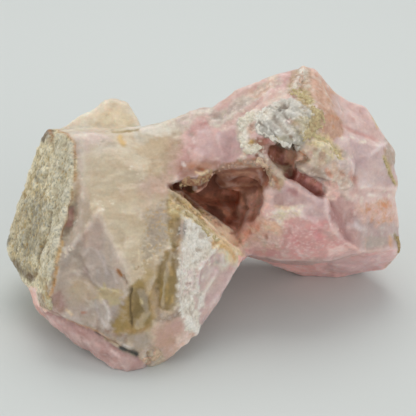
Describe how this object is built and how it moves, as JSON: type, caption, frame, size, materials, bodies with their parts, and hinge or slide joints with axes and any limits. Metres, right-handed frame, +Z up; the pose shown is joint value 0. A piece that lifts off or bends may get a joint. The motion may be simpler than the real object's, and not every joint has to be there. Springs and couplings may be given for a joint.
{
  "type": "rough pink opal",
  "caption": "Rough piece of pink common opal: two fractured lobes joined over an open hollow, with cream, pink, chalky and matrix faces.",
  "frame": {"origin": "middle of the stone's bounding box, on the surface it rests on", "axes": "+X along the longest extent, towards the pink lobe; +Y to the back; +Z up"},
  "size_m": [0.1086, 0.065, 0.0645],
  "materials": {
    "opal": "waxy fracture faces with chalky and earthy crusts"
  },
  "bodies": {
    "root": {"rough_pink_opal": "opal"}
  },
  "joints": []
}
